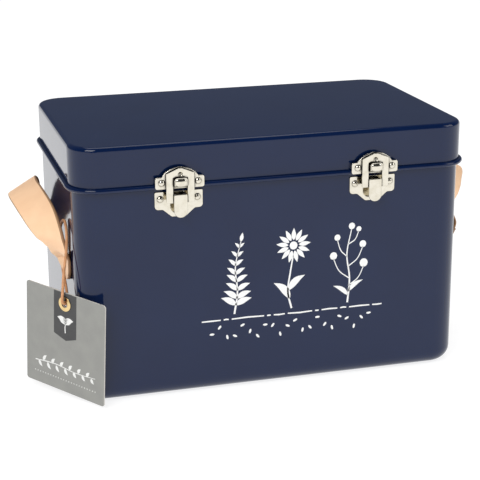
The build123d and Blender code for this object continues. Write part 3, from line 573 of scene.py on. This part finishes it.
def leather(colour):
    """Vegetable-tanned leather.  The attribute side is 1 on the grain, 0 on the flesh and
    between them on the cut edge; rim is 1 at the edges of the strap."""
    material, graph, shader, coords = new_material("tan_leather")
    side = graph.add("ShaderNodeAttribute", attribute_name="side").outputs["Fac"]
    rim = graph.add("ShaderNodeAttribute", attribute_name="rim").outputs["Fac"]
    pores = graph.add("ShaderNodeTexVoronoi", {"Vector": coords, "Scale": 1100.0,
                                               "Randomness": 1.0}).outputs["Distance"]
    cloud = graph.noise(coords, 70.0, detail=4.0)
    fibre = graph.noise(graph.stretch(coords, 1.0, 1.0, 0.35), 900.0, detail=5.0, rough=0.65)
    shade = rgb(*(c * share for c, share in zip(colour, GRAIN_SHADE)))
    grain = graph.mix(graph.remap(cloud, 0.35, 0.7, 0.0, 1.0), tuple(colour), shade)
    flesh = graph.mix(graph.remap(fibre, 0.3, 0.7, 0.0, 1.0), FLESH, FLESH_LIGHT)
    faces = graph.mix(graph.remap(side, 0.45, 0.55, 0.0, 1.0, smooth=True), flesh, grain)
    edge = graph.remap(rim, 0.925, 0.965, 0.0, 0.92, smooth=True)
    feed(graph, shader,
         Base_Color=graph.mix(edge, faces, CUT_EDGE),
         Roughness=graph.remap(side, 0.4, 0.6, 0.85, 0.48),
         IOR=1.45,
         Normal=graph.bump(graph.math("ADD", fibre, pores), 0.35, 0.0002))
    return material


def strap_section():
    """Points once round a strap's section: each one's share of the half width up to the round
    edges, how far it goes into a round edge, and its share of half the thickness."""
    flat = np.linspace(-1, 1, FLAT_STEPS)
    bend = np.linspace(0, np.pi, BEND_STEPS)[1:-1]
    return (np.concatenate([flat, np.ones(len(bend)), flat[::-1], -np.ones(len(bend))]),
            np.concatenate([0 * flat, np.sin(bend), 0 * flat, -np.sin(bend)]),
            np.concatenate([0 * flat + 1, np.cos(bend), 0 * flat - 1, -np.cos(bend)]))


def strap(name, side, settings, material):
    """One strap.  Through the stations runs a Catmull-Rom line P(t) with the direction A(t)
    across it and the outward normal N = A x T; a section point (a, n) sits at P + a A + n N.
    The section is a rounded rectangle, |a| up to the half width w and |n| up to half the
    thickness; towards each tip w = sqrt(R^2 - d^2), with d the distance past the rivet.  Near
    a foot one edge lifts by L(z) s^2 (3 - 2 s), s running from the rivet cap to that edge."""
    half = np.array(STRAP_LINES[name], float)
    rear = half[::-1][1:] * np.array([1, -1, 1, 1, -1, 1])
    rows = spline(np.vstack([half, rear]), STATION_STEPS)
    line = np.stack([side * (PANEL_X + rows[:, 0]), rows[:, 1], rows[:, 2]], 1)
    across = np.stack([side * rows[:, 3], rows[:, 4], rows[:, 5]], 1)
    ahead = unit(np.gradient(line, axis=0))
    across = unit(across - (across * ahead).sum(1, keepdims=True) * ahead)
    normal = np.cross(across, ahead) * side
    width, thick = settings.width / MM / 2, settings.thickness / MM / 2
    past = np.clip(RIVET_Z - rows[:, 2], 0, TIP_R)
    inside = (np.sqrt(np.clip(TIP_R ** 2 - past ** 2, TIP_FLAT ** 2, None)) / TIP_R)[:, None]
    sec_a, sec_r, sec_n = strap_section()
    edge = thick * EDGE_ROUND
    a = (sec_a * np.maximum(width * inside - edge, 0.15)
         + sec_r * edge * np.minimum(1, inside * 2))
    span = a / width
    pillow = settings.pillow / MM * (1 - span ** 2) * (sec_r == 0) * np.sign(sec_n)
    heights, lift = LIFTS[name]
    rise = np.interp(rows[:, 2], heights, lift)
    even = np.ones(2 * LIFT_BLUR + 1) / (2 * LIFT_BLUR + 1)
    rise = np.convolve(np.pad(rise, LIFT_BLUR, "edge"), even, "valid")[:, None]
    if side > 0:
        rise = rise * (rows[:, 1:2] < 0)     # the right strap's rear foot lies flat
    n = sec_n * thick + pillow + settings.lift * rise * smoothstep(0.3, 1.0, -side * span)
    points = line[:, None] + a[..., None] * across[:, None] + n[..., None] * normal[:, None]
    obj = mesh_object(f"strap_{name}", points.reshape(-1, 3) * MM,
                      ring_faces(*points.shape[:2]), "box", [material])
    outward = np.abs(span) * (1 + INNER_EDGE * (span < 0)) / np.maximum(inside, 0.05)
    for label, values in (("side", 0.5 + 0.5 * sec_n + 0 * a),
                          ("rim", np.maximum(outward, np.abs(sec_r)))):
        data = obj.data.attributes.new(label, "FLOAT", "POINT")
        data.data.foreach_set("value", np.clip(values, 0, 1).ravel().astype(np.float32))
    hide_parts(f"handle_{name}_strap")


class BOX_OT_straps(bpy.types.Operator):
    """Two leather strap handles, bowed out from the side panels"""
    bl_idname = "seedbox.straps"
    bl_label = "Leather Straps"

    def execute(self, context):
        material = leather(context.scene.box_straps.colour)
        for name, side in SIDES:
            strap(name, side, context.scene.box_straps, material)
        return {"FINISHED"}


# ---------------------------- swing tag
CARD_MIDDLE = Vector((-162.5, -75.5, 45.9)) * MM
CARD_TURN, CARD_TILT = math.radians(-52.0), math.radians(-3.6)
CARD_CORNER_R, CARD_BEVEL = 2.2 * MM, 0.1 * MM
CARD_UV = 100.0 * MM     # length of the card's plane that one unit of its UVs spans
FACE_TURN = 0.9          # upright share of a normal, below which a face belongs to the cut edge
EYELET_UP, EYELET_HOLE = 31.94 * MM, 3.0 * MM    # height above the card's middle, and radius
TAG_INK = 0.03 * MM
BANNER = ((-11.5, 40.6), (-11.5, 5.6), (0.9, 1.8), (11.5, 5.6), (11.5, 40.6))
KNOT_MIDDLE = Vector((-159.12, -75.41, 77.84)) * MM
KNOT_SIZE, KNOT_DEPTH = 0.74 * MM, 1.5           # its scale, and its depth against that scale
KNOT_TIGHT = 0.95        # thickness of the lace in the knot against its own
KNOT_STEPS, KNOT_AROUND = 120, 14
# Middle line of the lace: from the knot out through the eyelet, round the strap and back.
LACE_ROUTE = ((-160.37, -76.40, 77.83), (-164.7, -79.8, 77.8), (-163.1, -79.4, 90.2),
              (-161.2, -75.0, 103.0), (-157.4, -69.4, 118.0), (-155.6, -61.5, 131.0),
              (-155.4, -49.5, 136.5), (-156.8, -38.5, 129.5), (-157.4, -33.5, 116.5),
              (-156.8, -33.5, 103.0), (-156.8, -39.0, 91.5), (-157.8, -62.6, 83.6),
              (-158.97, -73.95, 78.49))
LACE_TAN, LACE_BROWN = rgb(0.74, 0.37, 0.18), rgb(0.56, 0.26, 0.115)


def card_place():
    """Matrix from the card's own plane, x across and y up it, to the box."""
    level = Vector((math.cos(CARD_TURN), math.sin(CARD_TURN), 0))
    x_axis = level * math.cos(CARD_TILT) + Vector((0, 0, math.sin(CARD_TILT)))
    facing = Vector((level.y, -level.x, 0))
    y_axis = facing.cross(x_axis)
    return Matrix.Translation(CARD_MIDDLE) @ Matrix((x_axis, y_axis, facing)).transposed().to_4x4()


def outline_curve(name, loops, thickness, bevel):
    """Mesh of a flat filled curve: the first loop is the outline and the others are holes."""
    curve = bpy.data.curves.new(name, "CURVE")
    curve.dimensions, curve.fill_mode = "2D", "BOTH"
    curve.extrude = thickness / 2 - bevel
    curve.bevel_depth, curve.bevel_resolution = bevel, 2
    for loop in loops:
        loop = np.asarray(loop, float)
        run = curve.splines.new("POLY")
        run.points.add(len(loop) - 1)
        flat = np.zeros((len(loop), 4))
        flat[:, :2], flat[:, 3] = loop, 1
        run.points.foreach_set("co", flat.ravel())
        run.use_cyclic_u = True
    carrier = bpy.data.objects.new(name + "_outline", curve)
    bpy.context.scene.collection.objects.link(carrier)
    bpy.context.view_layer.update()
    mesh = bpy.data.meshes.new_from_object(carrier)
    bpy.data.objects.remove(carrier)
    bpy.data.curves.remove(curve)
    return mesh


def round_rectangle(width, height, radius, steps=8):
    """Corner arcs of a rounded rectangle, counter-clockwise."""
    turn = np.linspace(0, np.pi / 2, steps)
    loops = []
    for i, (sx, sy) in enumerate(((1, 1), (-1, 1), (-1, -1), (1, -1))):
        angle = turn + i * np.pi / 2
        loops.append(np.stack([sx * (width / 2 - radius) + radius * np.cos(angle),
                               sy * (height / 2 - radius) + radius * np.sin(angle)], 1))
    return np.vstack(loops)


def eyelet_circle(radius, steps=48):
    """Points of a circle about the eyelet, in the card's own plane."""
    turn = np.linspace(0, 2 * np.pi, steps, endpoint=False)
    return np.stack([radius * np.cos(turn), EYELET_UP + radius * np.sin(turn)], 1)


def placed(name, mesh, place, body, materials):
    """Object for a flat mesh: its own plane becomes its UVs, then its points move to place.
    The first material covers its faces, and a second one the edge round them."""
    layer = mesh.uv_layers.new(name="card")
    co = np.zeros(len(mesh.vertices) * 3)
    mesh.vertices.foreach_get("co", co)
    co = co.reshape(-1, 3)
    corner = np.zeros(len(mesh.loops), int)
    mesh.loops.foreach_get("vertex_index", corner)
    layer.data.foreach_set("uv", (co[corner, :2] / CARD_UV).astype(np.float32).ravel())
    mesh.materials.clear()
    for material in materials:
        mesh.materials.append(material)
    if len(materials) > 1:
        upright = np.zeros(len(mesh.polygons) * 3)
        mesh.polygons.foreach_get("normal", upright)
        edge = np.abs(upright.reshape(-1, 3)[:, 2]) < FACE_TURN
        mesh.polygons.foreach_set("material_index", edge.astype(int))
    mesh.transform(place)
    mesh.update()
    obj = bpy.data.objects.new(name, mesh)
    bpy.context.scene.collection.objects.link(obj)
    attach(obj, body)
    return obj


def card_stock(name, tone, shade):
    """Thick printed card with a fine tooth."""
    material, graph, shader, coords = new_material(name)
    tooth = graph.noise(coords, 1500.0, detail=4.0, rough=0.6)
    cloud = graph.noise(coords, 90.0, detail=3.0)
    feed(graph, shader,
         Base_Color=graph.mix(graph.remap(cloud, 0.3, 0.7, 0.0, 1.0), rgb(*tone), rgb(*shade)),
         Roughness=graph.remap(tooth, 0.3, 0.7, 0.62, 0.78),
         Specular_IOR_Level=0.3,
         Normal=graph.bump(tooth, 0.18, 0.0001))
    return material


class BOX_OT_tag(bpy.types.Operator):
    """Lace, swing tag, eyelet and knot"""
    bl_idname = "seedbox.tag"
    bl_label = "Swing Tag"

    def execute(self, context):
        settings = context.scene.box_tag
        lace_finish = self.lace_finish()
        lace = self.lace(settings, lace_finish)
        self.card(settings)
        knot = self.knot(settings, lace_finish)
        self.print_on_card(settings)
        paint_node("tag_eyelet", metal("brass", YELLOW_BRASS, roughness=0.22))
        return {"FINISHED"}

    def lace_finish(self):
        """Round leather lace: cloudy in its colour, and fibrous."""
        material, graph, shader, coords = new_material("lace")
        fibre = graph.noise(graph.stretch(coords, 1.0, 1.0, 0.3), 1300.0, detail=4.0)
        cloud = graph.noise(coords, 160.0, detail=3.0)
        feed(graph, shader,
             Base_Color=graph.mix(graph.remap(cloud, 0.35, 0.65, 0.0, 1.0), LACE_TAN,
                                  LACE_BROWN),
             Roughness=0.62,
             Normal=graph.bump(fibre, 0.5, 0.0003))
        return material

    def lace(self, settings, material):
        """Round curve through the points of the route."""
        curve = bpy.data.curves.new("tag_lace", "CURVE")
        curve.dimensions = "3D"
        curve.bevel_depth, curve.bevel_resolution = settings.lace / 2, 5
        curve.resolution_u = 14
        curve.use_fill_caps = True
        run = curve.splines.new("NURBS")
        run.points.add(len(LACE_ROUTE) - 1)
        route = np.ones((len(LACE_ROUTE), 4))
        route[:, :3] = np.array(LACE_ROUTE) * MM
        run.points.foreach_set("co", route.ravel())
        run.order_u = 3
        run.use_endpoint_u = True
        curve.materials.append(material)
        obj = bpy.data.objects.new("tag_lace", curve)
        bpy.context.scene.collection.objects.link(obj)
        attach(obj, "box")
        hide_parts("tag_cord")
        return obj

    def card(self, settings):
        """Round-cornered card with a hole for the eyelet and a pale cut edge."""
        face = card_stock("tag_board", (0.320, 0.320, 0.300), (0.290, 0.290, 0.275))
        pale = card_stock("tag_board_edge", (0.66, 0.64, 0.60), (0.58, 0.56, 0.52))
        mesh = outline_curve("tag_card_piece", (
            round_rectangle(settings.width, settings.height, CARD_CORNER_R),
            eyelet_circle(EYELET_HOLE)), settings.thickness, CARD_BEVEL)
        obj = placed("tag_card_piece", mesh, card_place(), "box", [face, pale])
        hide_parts("tag_card")

    def knot(self, settings, material):
        """Overhand knot: the trefoil line x = sin t + 2 sin 2t, y = cos t - 2 cos 2t,
        z = -d sin 3t, scaled to fill the knot's ball, as a tube of the lace."""
        t = np.linspace(0, 2 * np.pi, KNOT_STEPS, endpoint=False)
        line = KNOT_SIZE * np.stack([np.sin(t) + 2 * np.sin(2 * t),
                                     np.cos(t) - 2 * np.cos(2 * t),
                                     -KNOT_DEPTH * np.sin(3 * t)], 1)
        ahead = unit(np.roll(line, -1, 0) - np.roll(line, 1, 0))
        outward = unit(line - (line * ahead).sum(1, keepdims=True) * ahead)
        third = np.cross(ahead, outward)
        v = np.linspace(0, 2 * np.pi, KNOT_AROUND, endpoint=False)
        radius = settings.lace / 2 * KNOT_TIGHT
        tube = (line[:, None] + radius * (np.cos(v)[None, :, None] * outward[:, None]
                                          + np.sin(v)[None, :, None] * third[:, None]))
        turn = np.array(card_place().to_3x3())
        points = tube.reshape(-1, 3) @ turn.T + np.array(KNOT_MIDDLE)
        faces = ring_faces(KNOT_STEPS, KNOT_AROUND, closed=True)
        obj = mesh_object("tag_knot_piece", points, faces, "box", [material])
        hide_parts("tag_knot")
        return obj

    def print_on_card(self, settings):
        """A dark banner hanging from the card's top edge, with a seedling printed over it, and
        low on the card a twig above a row of seeds.  The white ink is one layer above the dark."""
        dark = card_stock("banner_ink", (0.085, 0.085, 0.085), (0.070, 0.070, 0.072))
        white = card_stock("tag_white_ink", (0.86, 0.86, 0.84), (0.80, 0.80, 0.78))
        lower, upper = (card_place() @ Matrix.Translation(
            (0, 0, settings.thickness / 2 + layer * TAG_INK)) for layer in (0.5, 1.5))
        hole = eyelet_circle(EYELET_HOLE + 1.0 * MM)
        mesh = outline_curve("tag_banner", (np.array(BANNER) * MM, hole), TAG_INK, 0.0)
        placed("tag_banner", mesh, lower, "box", [dark])
        art = Artwork(TAG_INK)
        art.seedling(x=0.3, y=8.0, height=7.0, scale=0.62)
        art.build("tag_seedling", upper, "box", white)
        art = Artwork(TAG_INK)
        art.stem([(-31, -22.5), (-10, -20.6), (10, -22.0), (31, -20.8)], half=0.42, taper=0.6)
        for k in range(13):
            up = 1 if k % 2 else -1
            art.leaf(-27.0 + 4.5 * k, -21.6, angle=1.0 * up, length=6.4 - 0.14 * k, width=2.6,
                     bow=0.12 * up)
        for k in range(24):
            art.seed(-31.0 + 2.7 * k, -31.5, length=0.55, width=0.32, angle=0.6 * k)
        art.build("tag_twig", upper, "box", white)


# ---------------------------- printed artwork
class Artwork:
    """Flat plates of ink in a plane of its own, in millimetres: each is a ribbon with a half
    width along its middle line, so every leaf, stem, petal and dot is one closed plate."""
    LEAF_POINT, SEED_POINT = 0.04, 0.03      # half widths at the ends of a leaf and of a seed

    def __init__(self, ink):
        self.ink = ink
        self.points, self.faces, self.count = [], [], 0

    def ribbon(self, line, half):
        """Plate whose edges run at the half width to both sides of the line."""
        line, half = np.asarray(line, float), np.asarray(half, float)
        ahead = unit(np.gradient(line, axis=0))
        aside = np.stack([-ahead[:, 1], ahead[:, 0]], 1) * half[:, None]
        ring = np.zeros((len(line), 4, 3))
        low, high = -self.ink / MM / 2, self.ink / MM / 2
        for k, (sign, level) in enumerate(((1, high), (1, low), (-1, low), (-1, high))):
            ring[:, k, :2] = line + sign * aside
            ring[:, k, 2] = level
        self.points.append(ring.reshape(-1, 3))
        self.faces += ring_faces(len(line), 4, self.count)
        self.count += 4 * len(line)

    def leaf(self, x, y, angle, length, width, bow=0.0, steps=18):
        """Bowed leaf from (x, y) along angle, with the half width e + (w / 2) sin(pi t^0.8)."""
        t = np.linspace(0, 1, steps)
        run, side = length * t, bow * length * np.sin(np.pi * t)
        c, s = math.cos(angle), math.sin(angle)
        line = np.stack([x + c * run - s * side, y + s * run + c * side], 1)
        self.ribbon(line, self.LEAF_POINT + width / 2 * np.sin(np.pi * t ** 0.8))

    def stem(self, knots, half, taper):
        """Stalk through the knots, whose half width falls to the share taper of itself."""
        line = spline(knots, 10)
        self.ribbon(line, half * np.linspace(1, taper, len(line)))

    def seed(self, x, y, length, width, angle):
        """Small ellipse about (x, y), with the half axes length and width."""
        t = np.linspace(-1, 1, 12)
        line = np.stack([x + math.cos(angle) * length * t, y + math.sin(angle) * length * t], 1)
        self.ribbon(line, self.SEED_POINT + width * np.sqrt(np.clip(1 - t ** 2, 0, 1)))

    def disc(self, x, y, radius):
        self.seed(x, y, radius, radius, 0.0)

    def seedling(self, x, y, height, scale):
        """Short stem with two round seed leaves and two small true leaves."""
        top = y + height
        self.stem([(x, y), (x - 0.4 * scale, y + height * 0.5), (x, top)], 0.75 * scale, 0.8)
        for side in (-1, 1):
            self.leaf(x, top, math.pi / 2 - side * 1.05, 15 * scale, 8.5 * scale,
                      bow=side * 0.16)
            self.leaf(x, top, math.pi / 2 - side * 0.42, 9.5 * scale, 4.2 * scale,
                      bow=side * 0.10)

    def build(self, name, place, body, material):
        """One object of all the plates so far."""
        points = np.vstack(self.points) * MM
        turn, shift = np.array(place.to_3x3()), np.array(place.translation)
        mesh_object(name, points @ turn.T + shift, self.faces, body, [material],
                    smooth=False)


FRONT_Y = -94.0 * MM         # front face of the body
ROOT_Z, GROUND_Z, SEEDS_Z = 62.0, 58.0, 47.0     # heights of the print, in millimetres
DASHES = (15, 4, 26, 3, 9, 20, 3, 13, 5, 17, 8)  # the ground line, from left to right
DASH_START, DASH_GAP = -60.0, 2.4


class BOX_OT_print(bpy.types.Operator):
    """White garden plants printed on the front of the body"""
    bl_idname = "seedbox.print"
    bl_label = "Front Print"

    def execute(self, context):
        settings = context.scene.box_print
        material, graph, shader, coords = new_material("white_screen_ink")
        tooth = graph.noise(coords, 1400.0, detail=3.0)
        thin = graph.remap(graph.noise(coords, 260.0, detail=4.0), 0.62, 0.78, 0.0, 0.35)
        feed(graph, shader,
             Base_Color=graph.mix(thin, rgb(0.90, 0.90, 0.89), rgb(0.55, 0.56, 0.62)),
             Roughness=0.42,
             Normal=graph.bump(tooth, 0.2, 0.0001))
        front = Matrix(((1, 0, 0), (0, 0, -1), (0, 1, 0))).to_4x4()
        place = Matrix.Translation((0, FRONT_Y - settings.ink / 2, 0)) @ front
        half = settings.line / MM / 2
        plants = Artwork(settings.ink)
        for draw, x in ((self.fern, -34.0), (self.daisy, 12.0), (self.pods, 58.0)):
            draw(plants, x, ROOT_Z, half)
        plants.build("front_plants", place, "box", material)
        ground = Artwork(settings.ink)
        self.ground(ground)
        ground.build("front_ground", place, "box", material)
        return {"FINISHED"}

    def fern(self, art, x, y, half):
        """Upright stalk with pairs of leaflets that shorten upwards."""
        knots = [(x, y), (x + 2.5, y + 18), (x + 1.0, y + 38), (x + 5.5, y + 58)]
        art.stem(knots, half, 0.4)
        line = spline(knots, 20)
        for k, at in enumerate(np.linspace(8, len(line) - 6, 8).astype(int)):
            size = 13.5 - 1.15 * k
            for side in (-1, 1):
                art.leaf(*line[at], math.pi / 2 - 0.08 - side * (1.12 - 0.05 * k),
                         length=size, width=0.36 * size, bow=0.08 * side)
        art.leaf(*line[-1], math.pi / 2 - 0.2, length=7.0, width=2.8)

    def daisy(self, art, x, y, half):
        """Open flower on a bent stalk with two long leaves."""
        knots = [(x, y), (x - 3.0, y + 14), (x - 1.0, y + 30), (x + 1.0, y + 42)]
        art.stem(knots, half, 0.7)
        top = np.array(knots[-1]) + (0.4, 9.0)
        for k in range(13):
            turn = 2 * math.pi * k / 13 + 0.1
            art.leaf(top[0] + 4.3 * math.cos(turn), top[1] + 4.3 * math.sin(turn), turn,
                     length=9.6, width=3.5)
        art.disc(*top, radius=3.2)
        art.leaf(x - 1.5, y + 8, math.pi / 2 + 0.75, length=19, width=6.0, bow=-0.12)
        art.leaf(x - 2.0, y + 15, math.pi / 2 - 0.85, length=17, width=5.5, bow=0.12)

    def pods(self, art, x, y, half):
        """Branching stalk with round seed heads and a few narrow leaves."""
        art.stem([(x, y), (x + 1.5, y + 20), (x - 1.0, y + 40), (x + 2.5, y + 60)], half, 0.5)
        for bx, by, tx, ty, r in ((0.6, 14, 13, 29, 3.4), (1.2, 20, -12, 37, 3.0),
                                  (0.4, 30, 12, 45, 2.8), (-0.8, 38, -9, 52, 2.5),
                                  (0.2, 48, 8.5, 58, 2.1)):
            mid = ((bx + tx) / 2 + 0.14 * (tx - bx), (by + ty) / 2 - 1.6)
            art.stem([(x + bx, y + by), (x + mid[0], y + mid[1]), (x + tx, y + ty)],
                     half * 0.6, 0.7)
            art.disc(x + tx, y + ty + r * 0.8, r)
        art.disc(x + 2.7, y + 62.5, radius=2.6)
        for side, up in ((-1, 6), (1, 9)):
            art.leaf(x + 0.4, y + up, math.pi / 2 - side * 0.95, length=15, width=3.6,
                     bow=0.10 * side)

    def ground(self, art):
        """Broken ground line, and scattered seeds under it."""
        x = DASH_START
        for k, length in enumerate(DASHES):
            art.ribbon([(x, GROUND_Z), (x + length / 2, GROUND_Z + 0.4 * math.sin(k)),
                        (x + length, GROUND_Z)], [0.5, 0.62, 0.5])
            x += length + DASH_GAP
        for k in range(22):
            art.seed(-52.0 + 6.1 * k, SEEDS_Z + 5.4 * math.sin(1.9 * k), length=1.9, width=0.85,
                     angle=0.9 * k)


# ---------------------------- panel and registration
STEPS = (BOX_OT_stage, BOX_OT_tag, BOX_OT_straps, BOX_OT_paint, BOX_OT_fittings, BOX_OT_cards,
         BOX_OT_print)
SETTINGS = (("box_stage", BoxStageSettings), ("box_paint", BoxPaintSettings),
            ("box_fittings", BoxFittingSettings), ("box_straps", BoxStrapSettings),
            ("box_tag", BoxTagSettings), ("box_print", BoxPrintSettings))


class BOX_PT_panel(bpy.types.Panel):
    """Every step of the box"""
    bl_idname = "BOX_PT_panel"
    bl_label = "Seed Packet Box"
    bl_space_type = "VIEW_3D"
    bl_region_type = "UI"
    bl_category = "Seed Box"

    def draw(self, context):
        for step in STEPS:
            self.layout.operator(step.bl_idname)
        for name, group in SETTINGS:
            column = self.layout.column(heading=group.__doc__)
            for key in group.__annotations__:
                column.prop(getattr(context.scene, name), key)


def register():
    for name, group in SETTINGS:
        bpy.utils.register_class(group)
        setattr(bpy.types.Scene, name, bpy.props.PointerProperty(type=group))
    for cls in (*STEPS, BOX_PT_panel):
        bpy.utils.register_class(cls)


def unregister():
    for cls in (BOX_PT_panel, *reversed(STEPS)):
        bpy.utils.unregister_class(cls)
    for name, group in reversed(SETTINGS):
        delattr(bpy.types.Scene, name)
        bpy.utils.unregister_class(group)


def main():
    register()
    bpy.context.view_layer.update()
    bpy.ops.seedbox.stage()
    bpy.ops.seedbox.tag()
    bpy.ops.seedbox.straps()
    bpy.ops.seedbox.paint()
    bpy.ops.seedbox.fittings()
    bpy.ops.seedbox.cards()
    bpy.ops.seedbox.print()


if __name__ == "__main__":
    main()
